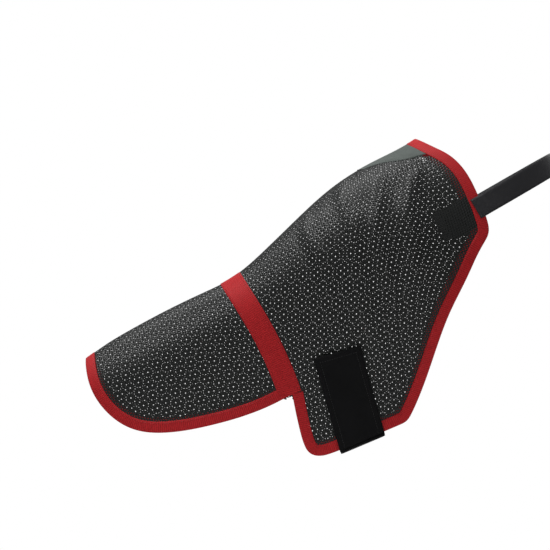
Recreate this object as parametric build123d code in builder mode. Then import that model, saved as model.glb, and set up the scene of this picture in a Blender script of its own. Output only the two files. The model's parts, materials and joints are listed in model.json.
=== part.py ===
"""A fly mask for a horse, full size, with a nose section and a hook-and-loop closure under the jaw.

The mask stands as it does on a head: the horse faces -X, +Z is up, and its left side is -Y.
The origin is the poll, the top of the head between the ears, where the crown edge rests.
Every panel lies on one smooth head form, and a layer is named by how far it stands off that form.
"""

import os
from math import cos, radians, sin

from build123d import *

# ---- driving dimensions, mm -------------------------------------------------------------------
mask_length = 609.0  # rear edge to nose rim, along the line of the head
mask_depth = 339.0  # crown to the lowest corner of the cheek, square to that line
brow_width = 224.0  # across the cups over the eyes
head_slope = 34.0  # degrees that the line of the head falls below level, towards the nose

mesh_thickness = 1.2
binding_width = 15.0
binding_thickness = 1.0  # of the fold on each face of the mesh
band_width = 33.0  # over the seam of the nose section
band_thickness = 1.3
tape_width = 14.0  # over the seam down the face, inside
tape_thickness = 0.9
gusset_thickness = 1.6

webbing_width = 30.0
webbing_thickness = 2.0
poll_strap_rise = 30.0  # degrees that the poll strap climbs from the mask to the crest
poll_strap_reach = 105.0  # from the end of its straight sides to the crest
poll_strap_straight = 17.0  # of each side, beside the mask
anchor_spread = 172.0  # across the mask at the sewn ends of the poll strap
sewn_length = 15.0  # of the strap end that is stitched to the binding
patch_size = 44.0  # of the reinforcement inside each sewn end
patch_thickness = 0.8

tab_width = 68.0  # of the jaw closure
tab_length = 134.0
tab_lean = 18.0  # degrees that its sides lean back from square to the head's line
tab_thickness = 1.8
loop_pad_thickness = 1.5
hook_pad_thickness = 1.0
hook_pad_margin = 4.0
jaw_strap_thickness = 2.0
jaw_strap_sag = 4.0
jaw_anchor_length = 42.0
edge_drop = 3.0  # of the closure's fold line below the bound lower edge
lower_edge_half = 43.8  # half the gap between the cheeks where the closure passes under
roll_radius = 1.4  # of the folds that the closure turns on

play = 0.3  # between pieces that part
seam_gap = 0.5  # between mesh panels where they meet under a band
pivot_setback = 2.0  # of the poll strap's turning point behind the mask's edge
loop_pad_margin = 2.0
across = 400.0  # past every piece, to each side

# ---- the head form ----------------------------------------------------------------------------
pattern_length, pattern_depth, pattern_width = 609.0, 339.0, 224.0
grade_along = mask_length / pattern_length
grade_up = mask_depth / pattern_depth
grade_out = brow_width / pattern_width

slope = radians(head_slope)
down_the_head = Vector(-cos(slope), 0, -sin(slope))
side = Plane(origin=(0, 0, 0), x_dir=down_the_head, z_dir=(0, 1, 0))

low_height = -230.0
base_height = -372.0

# Sections of the head: place along it, height of the top line, greatest half width and its height,
# half width at low_height and half width at base_height.
stations = (
    (-80, -2, 75, -128, 72, 70),
    (-10, 3, 87, -122, 82, 76),
    (60, 9, 105, -92, 82, 62),
    (125, 12, 112, -80, 78, 48),
    (195, 3, 98, -84, 69, 42),
    (262, -9, 77, -92, 60, 44),
    (320, -15, 63, -95, 55, 41),
    (380, -8, 58, -88, 54, 46),
    (440, 1, 57, -78, 60, 62),
    (505, 6, 58, -74, 63, 66),
    (555, 6, 55, -70, 60, 62),
    (610, 0, 48, -64, 54, 56),
)


def place(along, up):
    """A point of the pattern at the size in hand, on the side plane."""
    return (along * grade_along, up * grade_up)


def head_form(stand_off):
    """The solid head form, grown by stand_off over its top and sides."""
    with BuildPart() as form:
        for along, top, half, widest, low_half, base_half in stations:
            centre = down_the_head * (along * grade_along)
            section = Plane(origin=centre, x_dir=(0, -1, 0), z_dir=down_the_head)
            rise = (top - widest) * grade_up + stand_off
            reach = half * grade_out + stand_off
            arch = [
                (reach * cos(radians(turn)), widest * grade_up + rise * sin(radians(turn)))
                for turn in range(0, 181, 30)
            ]
            low = low_half * grade_out + stand_off
            base = base_half * grade_out + stand_off
            right = [(base, base_height * grade_up), (low, low_height * grade_up)]
            left = [(-low, low_height * grade_up), (-base, base_height * grade_up)]
            with BuildSketch(section):
                with BuildLine():
                    Spline(*right, *arch, *left)
                    Line(left[-1], right[0])
                make_face()
        loft()
    return form.part


# ---- outlines on the side plane ----------------------------------------------------------------
above = 40.0  # over the top line, for cuts that cross it
notch = place(341, -198)
fold_front, fold_rear = place(330, -302), place(264, -315)
rear_corner = place(228, -322)
anchor = place(-27, -127)

# The edge of the face section runs round the mask from the notch, and that of the nose section to it.
front_edge = [notch, place(351, -221), place(361, -247), place(368, -270)]
front_edge += [place(368, -282), place(361, -291), place(350, -297)]
lower_edge = [front_edge[-1], fold_front, fold_rear, rear_corner]
rear_edge = [
    rear_corner,
    place(212, -313),
    place(142, -262),
    place(95, -227),
    place(44, -197),
    place(0, -172),
    place(-14, -164),
    place(-20, -152),
    place(-31, -108),
    place(-35, -75),
    place(-30, -43),
    place(-20, -23),
    place(-7, 3),
    place(4, above),
]
nose_edge = [
    place(538, above),
    place(562, -3),
    place(571, -28),
    place(573, -66),
    place(555, -113),
    place(513, -147),
    place(454, -173),
    place(381, -194),
    notch,
    place(300, -197),
]
band_line = [place(322, above), place(323, -45), place(326, -103), place(334, -158), place(345, -204)]
gusset_line = [place(96, above), place(86, 11), place(60, 2), place(26, -16), place(-9, -30), place(-60, -54)]


def drawn_in(points, amount):
    """A line moved square to itself, to its right, with its corners mitred."""
    points = [Vector(*point) for point in points]
    runs = [(after - before).normalized() for before, after in zip(points, points[1:])]
    squares = [Vector(run.Y, -run.X) for run in runs]
    pairs = zip([squares[0]] + squares, squares + [squares[-1]])
    return [point + (one + two) * (amount / (1 + one.dot(two))) for point, (one, two) in zip(points, pairs)]


def face_area(amount):
    """The face section from the side, drawn in by an amount from its edge."""
    edge = drawn_in([place(360, above)] + front_edge + lower_edge[1:] + rear_edge[1:], amount)
    corner = 1 + len(front_edge)
    rear = corner + len(lower_edge) - 1
    with BuildSketch() as area:
        with BuildLine():
            Line(edge[0], edge[1])
            Spline(*edge[1:corner])
            Polyline(*edge[corner - 1 : rear])
            Spline(*edge[rear - 1 :])
            Line(edge[-1], edge[0])
        make_face()
    return area.sketch


def nose_area(amount):
    """The nose section from the side, drawn in by an amount from its edge."""
    edge = drawn_in(nose_edge, amount)
    with BuildSketch() as area:
        with BuildLine():
            Spline(*edge)
            Polyline(edge[-1], (edge[-1].X, above), edge[0])
        make_face()
    return area.sketch


def polygon(*corners):
    with BuildSketch() as area:
        with BuildLine():
            Polyline(*corners, close=True)
        make_face()
    return area.sketch


def beyond(line, shift, corners):
    """All that lies past a curved line that is moved along the head, out to the corners."""
    points = [(along + shift, up) for along, up in line]
    with BuildSketch() as area:
        with BuildLine():
            Spline(*points)
            Polyline(points[-1], *corners, points[0])
        make_face()
    return area.sketch


def face_side(shift):
    """What lies behind the seam of the nose section, or below it."""
    below = band_line[-1][1]
    corners = [(2 * across, below), (2 * across, -across), (-across, -across), (-across, above)]
    return beyond(band_line, shift, corners)


def nose_side(shift):
    """What lies ahead of the seam of the nose section."""
    return beyond(band_line, shift, [(2 * across, band_line[-1][1]), (2 * across, above)])


def band_zone():
    """The band over the seam of the nose section."""
    ahead = drawn_in(band_line, -band_width / 2)
    behind = drawn_in(band_line, band_width / 2)
    with BuildSketch() as area:
        with BuildLine():
            Spline(*ahead)
            Line(ahead[-1], behind[-1])
            Spline(*reversed(behind))
            Line(behind[0], ahead[0])
        make_face()
    return area.sketch


def above_band_end():
    """What lies above the lower end of the band, drawn out both ways."""
    ahead = drawn_in(band_line, -band_width / 2)[-1]
    behind = drawn_in(band_line, band_width / 2)[-1]
    reach = (ahead - behind) * 3
    return polygon(behind - reach, ahead + reach, ahead + reach + (0, across), behind - reach + (0, across))


def gusset_zone():
    """The top of the crown, behind the gusset's seam."""
    return beyond(gusset_line, 0, [(-across, gusset_line[-1][1]), (-across, above)])


def rear_zone():
    """What the rear binding covers: all behind a line that runs beside the rear edge at its corner."""
    edge = (Vector(*rear_corner) - Vector(*rear_edge[1])).normalized()
    inner = Vector(*rear_corner) + Vector(-edge.Y, edge.X) * binding_width
    past = inner + edge * 2 * binding_width
    middle = place(300, -100)
    return polygon(
        past, inner, middle, (middle[0], above), (-across, above), (-across, -across), (past.X, -across)
    )


def crown_zone():
    """What lies above the ends of the poll strap."""
    return polygon((-across, anchor[1]), (across, anchor[1]), (across, above), (-across, above))


def strap_zone(back, ahead, half):
    """A strip along the poll strap's line, from behind the anchor to ahead of it."""
    run, square = strap_run, Vector(-strap_run.Y, strap_run.X) * half
    rear, front = anchor_point + run * back, anchor_point - run * ahead
    return polygon(rear - square, front - square, front + square, rear + square)


def tab_zone(margin, lift, length):
    """A flap of the closure's shape: a margin in from its sides, from a lift above the fold line."""
    lean = radians(tab_lean)
    up = Vector(-sin(lean), cos(lean))
    half = fold_run * (tab_width / 2 - margin)
    square = up * half.dot(up)
    foot = fold_middle + up * lift
    top = fold_middle + up * length
    return polygon(foot - half, foot + half, top + half - square, top - half + square)


# ---- lines the straps run on ---------------------------------------------------------------------
anchor_point = Vector(*anchor)
strap_turn = radians(head_slope - poll_strap_rise)
strap_run = Vector(-cos(strap_turn), -sin(strap_turn))
pivot = anchor_point + strap_run * pivot_setback
anchor_half = anchor_spread / 2 * grade_out + binding_thickness + webbing_thickness
fold_run = (Vector(*fold_front) - Vector(*fold_rear)).normalized()
fold_square = Vector(fold_run.Y, -fold_run.X)
fold_middle = (Vector(*fold_front) + Vector(*fold_rear)) / 2 + fold_square * edge_drop

# ---- layers, by how far they stand off the head form ---------------------------------------------
binding_inner = -mesh_thickness - binding_thickness
tape_inner = -mesh_thickness - tape_thickness
patch_inner = -mesh_thickness - patch_thickness
tab_inner = max(loop_pad_thickness, binding_thickness) + play
tab_outer = tab_inner + hook_pad_thickness
tab_face = tab_outer + tab_thickness
jaw_anchor_face = binding_thickness + jaw_strap_thickness
fold_half = lower_edge_half * grade_out + tab_outer + tab_thickness / 2
forms = {}
for stand_off in (
    0,
    -mesh_thickness,
    -gusset_thickness,
    binding_thickness,
    binding_inner,
    band_thickness,
    tape_inner,
    patch_inner,
    loop_pad_thickness,
    tab_inner,
    tab_outer,
    tab_face,
    jaw_anchor_face,
):
    if stand_off not in forms:
        forms[stand_off] = head_form(stand_off)


def keep_layer(inner, outer):
    """Keeps what lies on the head form between two stand-offs."""
    add(forms[outer], mode=Mode.INTERSECT)
    add(forms[inner], mode=Mode.SUBTRACT)


def region(kept, cut=()):
    """Where several areas of the side plane meet, less others."""
    with BuildSketch() as area:
        add(kept[0])
        for other in kept[1:]:
            add(other, mode=Mode.INTERSECT)
        for other in cut:
            add(other, mode=Mode.SUBTRACT)
    return area.sketch


def export(part, name):
    """Writes one piece under its name."""
    part.label = name
    export_step(part, f"parts/{name}.step")


def export_pair(part, name):
    """Writes a left piece and its mirror image on the right."""
    export(part, f"{name}_left")
    with BuildPart() as other:
        mirror(part, about=Plane.XZ)
    export(other.part, f"{name}_right")


os.makedirs("parts", exist_ok=True)

face = face_area(0)
nose = nose_area(0)
face_in_fold = face_area(binding_thickness)
nose_in_fold = nose_area(binding_thickness)
face_field = face_area(binding_width)
nose_field = nose_area(binding_width)
band = band_zone()
gusset = gusset_zone()
rear = rear_zone()
crown = crown_zone()
over_notch = above_band_end()
with BuildSketch() as both_sections:
    add(region([face, face_side(0)]))
    add(region([nose, nose_side(0)]))

# ---- mesh panels and the crown gusset ------------------------------------------------------------
with BuildPart() as face_mesh_left:
    with BuildSketch(side.offset(-seam_gap / 2)):
        add(region([face_in_fold, face_side(-seam_gap / 2)], [gusset]))
    extrude(amount=-across)
    keep_layer(-mesh_thickness, 0)
export_pair(face_mesh_left.part, "face_mesh")

with BuildPart() as nose_mesh:
    with BuildSketch(side):
        add(region([nose_in_fold, nose_side(seam_gap / 2)]))
    extrude(amount=across, both=True)
    keep_layer(-mesh_thickness, 0)
export(nose_mesh.part, "nose_mesh")

with BuildPart() as crown_gusset:
    with BuildSketch(side):
        add(region([face_in_fold, gusset]))
    extrude(amount=across, both=True)
    keep_layer(-gusset_thickness, 0)
export(crown_gusset.part, "crown_gusset")

# ---- band and tapes over the seams ---------------------------------------------------------------
with BuildPart() as nose_band:
    with BuildSketch(side):
        add(region([both_sections.sketch, band]))
    extrude(amount=across, both=True)
    keep_layer(0, band_thickness)
export(nose_band.part, "nose_band")

with BuildPart() as nose_band_lining:
    with BuildSketch(side):
        add(region([both_sections.sketch, band]))
    extrude(amount=across, both=True)
    keep_layer(tape_inner, -mesh_thickness)
export(nose_band_lining.part, "nose_band_lining")

with BuildPart() as centre_seam_tape:
    with BuildSketch(side):
        add(region([face, face_side(0)], [gusset, band]))
    extrude(amount=tape_width / 2, both=True)
    keep_layer(tape_inner, -mesh_thickness)
export(centre_seam_tape.part, "centre_seam_tape")

# ---- bindings, folded over the edges of the mesh --------------------------------------------------
with BuildPart() as nose_edge_binding:
    with BuildSketch(side):
        add(region([nose, nose_side(0)], [nose_field, band]))
    extrude(amount=across, both=True)
    keep_layer(binding_inner, binding_thickness)
    add(nose_mesh.part, mode=Mode.SUBTRACT)
export(nose_edge_binding.part, "nose_edge_binding")

with BuildPart() as crown_binding:
    with BuildSketch(side):
        add(region([face, rear, crown], [face_field]))
    extrude(amount=across, both=True)
    keep_layer(binding_inner, binding_thickness)
    add(face_mesh_left.part, mode=Mode.SUBTRACT)
    mirror(face_mesh_left.part, about=Plane.XZ, mode=Mode.SUBTRACT)
    add(crown_gusset.part, mode=Mode.SUBTRACT)
export(crown_binding.part, "crown_binding")

with BuildPart() as rear_binding_left:
    with BuildSketch(side):
        add(region([face, rear], [face_field, crown]))
    extrude(amount=-across)
    keep_layer(binding_inner, binding_thickness)
    add(face_mesh_left.part, mode=Mode.SUBTRACT)
export_pair(rear_binding_left.part, "rear_binding")

with BuildPart() as cheek_binding_left:
    with BuildSketch(side):
        add(region([face, face_side(0)], [face_field, band, over_notch, rear]))
    extrude(amount=-across)
    keep_layer(binding_inner, binding_thickness)
    add(face_mesh_left.part, mode=Mode.SUBTRACT)
export_pair(cheek_binding_left.part, "cheek_binding")

# ---- poll strap and its sewn ends ------------------------------------------------------------------
with BuildPart() as strap_end_left:
    with BuildSketch(side):
        add(strap_zone(pivot_setback, sewn_length - pivot_setback, webbing_width / 2))
    extrude(amount=-anchor_half)
    add(forms[binding_thickness], mode=Mode.SUBTRACT)
export_pair(strap_end_left.part, "strap_end")

with BuildPart() as anchor_patch_left:
    with BuildSketch(side):
        add(region([strap_zone(0, binding_width + patch_size, patch_size / 2), face_field], [gusset]))
    extrude(amount=-across)
    keep_layer(patch_inner, -mesh_thickness)
export_pair(anchor_patch_left.part, "anchor_patch")

strap_outer = anchor_half + play + webbing_thickness
strap_inner = anchor_half + play
crest_outer = poll_strap_reach + webbing_thickness
crest_inner = poll_strap_reach
strap_plane = Plane(
    origin=side.from_local_coords(pivot),
    x_dir=(cos(radians(poll_strap_rise)), 0, sin(radians(poll_strap_rise))),
    z_dir=(-sin(radians(poll_strap_rise)), 0, cos(radians(poll_strap_rise))),
)
with BuildPart() as poll_strap:
    with BuildSketch(strap_plane):
        with BuildLine():
            for half, reach in ((strap_outer, crest_outer), (strap_inner, crest_inner)):
                EllipticalCenterArc((poll_strap_straight, 0), reach, half, -90, arc_size=180)
                Line((-webbing_width, half), (poll_strap_straight, half))
                Line((-webbing_width, -half), (poll_strap_straight, -half))
            Line((-webbing_width, strap_inner), (-webbing_width, strap_outer))
            Line((-webbing_width, -strap_inner), (-webbing_width, -strap_outer))
        make_face()
    extrude(amount=webbing_width / 2, both=True)
    with BuildSketch(side):
        with Locations(pivot):
            Circle(webbing_width / 2)
        add(strap_zone(across, -pivot_setback, webbing_width))
    extrude(amount=across, both=True, mode=Mode.INTERSECT)
export(poll_strap.part, "poll_strap")

# ---- closure under the jaw -------------------------------------------------------------------------
with BuildPart() as closure_loop_pad:
    with BuildSketch(side):
        add(region([tab_zone(loop_pad_margin, 0, tab_length - loop_pad_margin), face_field]))
    extrude(amount=-across)
    keep_layer(0, loop_pad_thickness)
export(closure_loop_pad.part, "closure_loop_pad")

with BuildPart() as hook_pad:
    with BuildSketch(side):
        add(tab_zone(hook_pad_margin, hook_pad_margin + roll_radius, tab_length - hook_pad_margin))
    extrude(amount=-across)
    keep_layer(tab_inner, tab_outer)
export(hook_pad.part, "hook_pad")

fold_start = side.from_local_coords(fold_middle)
fold_plane = Plane(
    origin=fold_start,
    x_dir=(0, 1, 0),
    z_dir=side.from_local_coords(fold_middle + fold_run) - fold_start,
)
with BuildPart() as closure_tab:
    with BuildSketch(side):
        add(tab_zone(0, 0, tab_length))
    extrude(amount=-across)
    keep_layer(tab_outer, tab_face)
    with BuildSketch(fold_plane):
        with Locations((-fold_half, 0)):
            Circle(roll_radius)
    extrude(amount=tab_width / 2, both=True)
export(closure_tab.part, "closure_tab")

with BuildPart() as jaw_strap:
    near_end = -fold_half + roll_radius + 2 * play
    with BuildSketch(fold_plane):
        with BuildLine():
            top = ThreePointArc(
                (near_end, -jaw_strap_thickness / 2),
                (0, jaw_strap_sag - jaw_strap_thickness / 2),
                (fold_half, -jaw_strap_thickness / 2),
            )
            under = ThreePointArc(
                (near_end, jaw_strap_thickness / 2),
                (0, jaw_strap_sag + jaw_strap_thickness / 2),
                (fold_half, jaw_strap_thickness / 2),
            )
            Line(top @ 0, under @ 0)
            Line(top @ 1, under @ 1)
        make_face()
        with Locations((fold_half, 0)):
            Circle(roll_radius)
    extrude(amount=tab_width / 2, both=True)
export(jaw_strap.part, "jaw_strap")

with BuildPart() as jaw_strap_anchor:
    with BuildSketch(side):
        add(tab_zone(0, roll_radius + 3 * play, jaw_anchor_length))
    extrude(amount=across)
    keep_layer(binding_thickness, jaw_anchor_face)
export(jaw_strap_anchor.part, "jaw_strap_anchor")
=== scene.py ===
"""A horse fly mask: nets, red edge webbing, straps and a hook-and-loop closure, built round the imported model.

Sheets lie on a skin, a smooth surface read from the net panels of the model. A place on it is told by
how far it is down the line of the head, and how far round the head it is from the ridge of the face.
"""

import json
import math

import bmesh
import bpy
import numpy as np
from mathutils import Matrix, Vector
from mathutils.bvhtree import BVHTree


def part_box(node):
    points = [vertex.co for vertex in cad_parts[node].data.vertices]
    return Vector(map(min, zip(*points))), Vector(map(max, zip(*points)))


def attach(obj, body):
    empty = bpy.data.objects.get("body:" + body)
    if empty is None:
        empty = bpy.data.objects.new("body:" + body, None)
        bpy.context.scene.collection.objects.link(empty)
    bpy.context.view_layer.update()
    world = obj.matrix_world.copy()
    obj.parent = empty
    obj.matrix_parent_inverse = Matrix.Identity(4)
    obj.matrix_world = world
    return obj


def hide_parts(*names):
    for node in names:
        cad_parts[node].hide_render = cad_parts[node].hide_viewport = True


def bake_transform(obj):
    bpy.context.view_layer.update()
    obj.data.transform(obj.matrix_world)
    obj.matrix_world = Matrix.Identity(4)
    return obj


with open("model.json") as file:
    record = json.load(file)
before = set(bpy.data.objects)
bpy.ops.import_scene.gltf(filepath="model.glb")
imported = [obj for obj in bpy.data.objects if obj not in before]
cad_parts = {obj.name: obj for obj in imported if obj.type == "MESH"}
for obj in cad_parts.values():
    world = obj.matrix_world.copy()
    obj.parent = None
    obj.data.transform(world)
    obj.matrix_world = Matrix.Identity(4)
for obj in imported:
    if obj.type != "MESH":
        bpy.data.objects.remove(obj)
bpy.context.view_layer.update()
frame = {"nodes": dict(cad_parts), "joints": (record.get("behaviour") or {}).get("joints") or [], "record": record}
MM = 0.001

bl_info = {
    "name": "Horse fly mask",
    "version": (1, 0, 0),
    "blender": (4, 5, 0),
    "location": "3D View > Sidebar > Fly mask",
    "description": "Builds the cloth, webbing and stitching of a horse's fly mask",
    "category": "Object",
}

# ---- what the model says ---------------------------------------------------------------------------
MOUNTS = {mount["name"]: mount for mount in frame["record"]["mounts"]}
JOINTS = {joint["name"]: joint for joint in frame["joints"]}
BACK = Vector(MOUNTS["head_seat"]["axis"]).normalized()
DOWN = -BACK  # along the line of the head, towards the nose
UP = Vector((-BACK.z, 0, BACK.x))  # square to it, away from the jaw
SIDE = Vector((0, -1, 0))  # towards the left
PIVOT = Vector(JOINTS["poll_strap_swing"]["pos_m"])
CREST = Vector(MOUNTS["crest_seat"]["pos_m"])
FAR_FOLD = Vector(JOINTS["jaw_strap_swing"]["pos_m"])
NEAR_FOLD = Vector(JOINTS["closure_peel"]["pos_m"])
FOLD = -Vector(JOINTS["closure_peel"]["axis"]).normalized()  # along the folds, towards the nose
UNDER = Vector((-FOLD.z, 0, FOLD.x))  # square to the folds, away from the jaw


# ---- settings --------------------------------------------------------------------------------------
def length(name, description, default):
    """A size in metres, as a property."""
    return bpy.props.FloatProperty(
        name=name, description=description, default=default, unit="LENGTH", precision=5
    )


def colour(name, description, hex_value):
    """A colour as a property, from its sRGB hex value."""
    return bpy.props.FloatVectorProperty(
        name=name, description=description, default=linear(hex_value), subtype="COLOR", size=3, min=0, max=1
    )


def linear(hex_value):
    """An sRGB hex colour, such as D9484A, as linear red, green and blue."""
    parts = [int(hex_value[i : i + 2], 16) / 255 for i in (0, 2, 4)]
    return tuple(p / 12.92 if p <= 0.04045 else ((p + 0.055) / 1.055) ** 2.4 for p in parts)


class FLYMASK_PG_net(bpy.types.PropertyGroup):
    """The net panels."""

    pitch: length("Mesh size", "Distance between neighbouring holes", 3.9 * MM)
    hole: bpy.props.FloatProperty(
        name="Hole share", description="Width of a hole as a share of its cell", default=0.4, min=0.1, max=0.9
    )
    turn: bpy.props.FloatProperty(
        name="Grain",
        description="Angle of the rows of holes to the line of the head",
        default=math.radians(15),
        subtype="ANGLE",
    )
    tint: colour("Net", "Colour of the coated net yarn", "0F1110")


class FLYMASK_PG_webbing(bpy.types.PropertyGroup):
    """Edge webbing, straps and their stitches."""

    rib: length("Rib", "Distance between the ribs across the webbing", 2.8 * MM)
    red: colour("Edge webbing", "Colour of the edge webbing and the band", "961318")
    black: colour("Strap webbing", "Colour of the poll strap", "1C1C1F")
    stitch: length("Stitch", "Distance from one stitch to the next", 3.4 * MM)
    band: length("Band width", "Width of the webbing over the nose seam", 33 * MM)


class FLYMASK_PG_cloth(bpy.types.PropertyGroup):
    """Solid cloth pieces."""

    gusset: colour("Gusset", "Colour of the crown gusset", "474D4A")
    closure: colour("Closure", "Colour of the closure under the jaw", "0D0D0E")


# ---- small helpers ---------------------------------------------------------------------------------
def made(name, vertices, faces, uvs=None, material=None, smooth=True, edges=()):
    """A mesh object from lists. uvs holds one pair per vertex."""
    mesh = bpy.data.meshes.new(name)
    mesh.from_pydata([tuple(v) for v in vertices], list(edges), [tuple(f) for f in faces])
    if uvs is not None:
        layer = mesh.uv_layers.new(name="UVMap")
        loops = np.empty(len(mesh.loops), np.int32)
        mesh.loops.foreach_get("vertex_index", loops)
        layer.data.foreach_set("uv", np.asarray(uvs, np.float32)[loops].ravel())
    if smooth and faces:
        mesh.shade_smooth()
    obj = bpy.data.objects.new(name, mesh)
    bpy.context.scene.collection.objects.link(obj)
    if material:
        mesh.materials.append(material)
    return obj


def grid_faces(rows, columns, closed=False, flip=False):
    """Quads of a grid of rows by columns of vertices; closed joins the last column to the first."""
    faces = []
    for i in range(rows - 1):
        for j in range(columns if closed else columns - 1):
            k = (j + 1) % columns
            quad = (i * columns + j, i * columns + k, (i + 1) * columns + k, (i + 1) * columns + j)
            faces.append(quad[::-1] if flip else quad)
    return faces


def node_tree(node):
    """A ray target made of one node's mesh, or of several."""
    names = [node] if isinstance(node, str) else node
    vertices, faces = [], []
    for name in names:
        mesh = frame["nodes"][name].data
        start = len(vertices)
        vertices += [v.co.copy() for v in mesh.vertices]
        faces += [tuple(start + k for k in p.vertices) for p in mesh.polygons]
    return BVHTree.FromPolygons(vertices, faces)


def smoothed(points, rounds=1, closed=False):
    """A line with its small steps taken out, its ends left where they are."""
    line = np.array(points, float)
    for _ in range(rounds):
        if closed:
            line = (np.roll(line, 1, 0) + 2 * line + np.roll(line, -1, 0)) / 4
        else:
            line[1:-1] = (line[:-2] + 2 * line[1:-1] + line[2:]) / 4
    return line


def resampled(points, step):
    """A line cut to even steps of about the length given."""
    line = np.array(points, float)
    runs = np.linalg.norm(np.diff(line, axis=0), axis=1)
    at = np.concatenate([[0], np.cumsum(runs)])
    count = max(2, int(round(at[-1] / step)) + 1)
    even = np.linspace(0, at[-1], count)
    return np.column_stack([np.interp(even, at, line[:, k]) for k in range(3)])


# ---- the skin --------------------------------------------------------------------------------------
class Skin:
    """The smooth surface that every sheet lies on, read from the left half of the net panels."""

    STEP = 5 * MM
    CORE = -90 * MM  # height, on UP, of the line that rays for the arch of the head start from
    FIRST, LAST = -55 * MM, 600 * MM  # along the head, past both ends of the mask
    LOWEST = -350 * MM

    def __init__(self):
        target = node_tree(["face_mesh_left", "crown_gusset", "nose_mesh"])
        turns = [math.radians(t) for t in range(0, 91, 3)]
        drops = np.arange(self.CORE - self.STEP, self.LOWEST, -self.STEP)
        self.rows = np.arange(self.FIRST, self.LAST, self.STEP)
        grid = np.full((len(self.rows), len(turns) + len(drops), 3), np.nan)
        for i, along in enumerate(self.rows):
            core = DOWN * along + UP * self.CORE
            rays = [(core, UP * math.cos(t) + SIDE * math.sin(t)) for t in turns]
            rays[0] = (core + SIDE * MM, UP)
            rays += [(DOWN * along + UP * drop, SIDE) for drop in drops]
            for j, (start, way) in enumerate(rays):
                hit = target.ray_cast(start + way * 0.4, -way, 0.4)
                if hit[0]:
                    grid[i, j] = hit[0]
        grid[:, 0, 1] = 0
        self.points = self.spread(grid)
        gaps = np.linalg.norm(np.diff(self.points, axis=1), axis=2)
        self.across = np.concatenate([np.zeros((len(self.rows), 1)), np.cumsum(gaps, axis=1)], axis=1)
        self.build_tree()

    def spread(self, grid):
        """Fills what lies past the edges by carrying the surface on, and takes out the facets."""
        known = ~np.isnan(grid[:, :, 0])
        for j in range(grid.shape[1]):
            column = np.flatnonzero(known[:, j])
            if len(column) < 8:
                grid[:, j] = np.nan
                known[:, j] = False
                continue
            first, last = column[0], column[-1]
            gaps = np.flatnonzero(~known[first : last + 1, j]) + first
            for k in range(3):
                grid[gaps, j, k] = np.interp(gaps, column, grid[column, j, k])
            head = grid[first + 3, j] - grid[first, j]
            tail = grid[last, j] - grid[last - 3, j]
            for i in range(first - 1, -1, -1):
                grid[i, j] = grid[i + 1, j] - head / 3
            for i in range(last + 1, grid.shape[0]):
                grid[i, j] = grid[i - 1, j] + tail / 3
            known[:, j] = True
        for j in range(1, grid.shape[1]):
            if not known[:, j].any():
                grid[:, j] = 2 * grid[:, j - 1] - grid[:, j - 2]
        for _ in range(3):
            grid[1:-1] = (grid[:-2] + 2 * grid[1:-1] + grid[2:]) / 4
            grid[:, 1:-1] = (grid[:, :-2] + 2 * grid[:, 1:-1] + grid[:, 2:]) / 4
        return grid

    def row(self, i, around):
        """A point of row i, by its distance round from the ridge."""
        at = np.interp(abs(around), self.across[i], np.arange(self.across.shape[1]))
        j = min(int(at), self.points.shape[1] - 2)
        point = self.points[i, j] * (1 - at + j) + self.points[i, j + 1] * (at - j)
        return point * (1, 1 if around >= 0 else -1, 1)

    def place(self, along, around):
        """The point at a distance down the head and round from the ridge, left being positive."""
        at = (along - self.rows[0]) / self.STEP
        i = int(np.clip(at, 0, len(self.rows) - 2))
        f = at - i
        return Vector(self.row(i, around) * (1 - f) + self.row(i + 1, around) * f)

    def build_tree(self):
        rows, columns = self.points.shape[:2]
        left = self.points.reshape(-1, 3)
        right = left * (1, -1, 1)
        faces = grid_faces(rows, columns)
        faces += [tuple(rows * columns + k for k in f[::-1]) for f in faces]
        vertices = np.concatenate([left, right])
        self.faces = faces
        normals = np.zeros_like(vertices)
        corners = vertices[np.array(faces)]
        square = np.cross(corners[:, 2] - corners[:, 0], corners[:, 3] - corners[:, 1])
        for k in range(4):
            np.add.at(normals, np.array(faces)[:, k], square)
        ridge = np.arange(rows) * columns
        normals[ridge] += normals[ridge + rows * columns]
        normals[ridge + rows * columns] = normals[ridge]
        self.normals = normals / np.linalg.norm(normals, axis=1)[:, None]
        self.vertices = vertices
        if self.normals[ridge[rows // 2]] @ np.array(UP) < 0:
            self.normals = -self.normals
        self.tree = BVHTree.FromPolygons([Vector(v) for v in vertices], faces)

    def on(self, point, stand_off=0.0):
        """The nearest point of the skin, and its outward normal, raised by the stand-off."""
        near, _, face, _ = self.tree.find_nearest(point)
        corners = self.faces[face]
        weights = np.array([1 / ((Vector(self.vertices[k]) - near).length + 0.1 * MM) ** 2 for k in corners])
        normal = Vector((self.normals[list(corners)] * weights[:, None]).sum(0)).normalized()
        return near + normal * stand_off, normal


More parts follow.
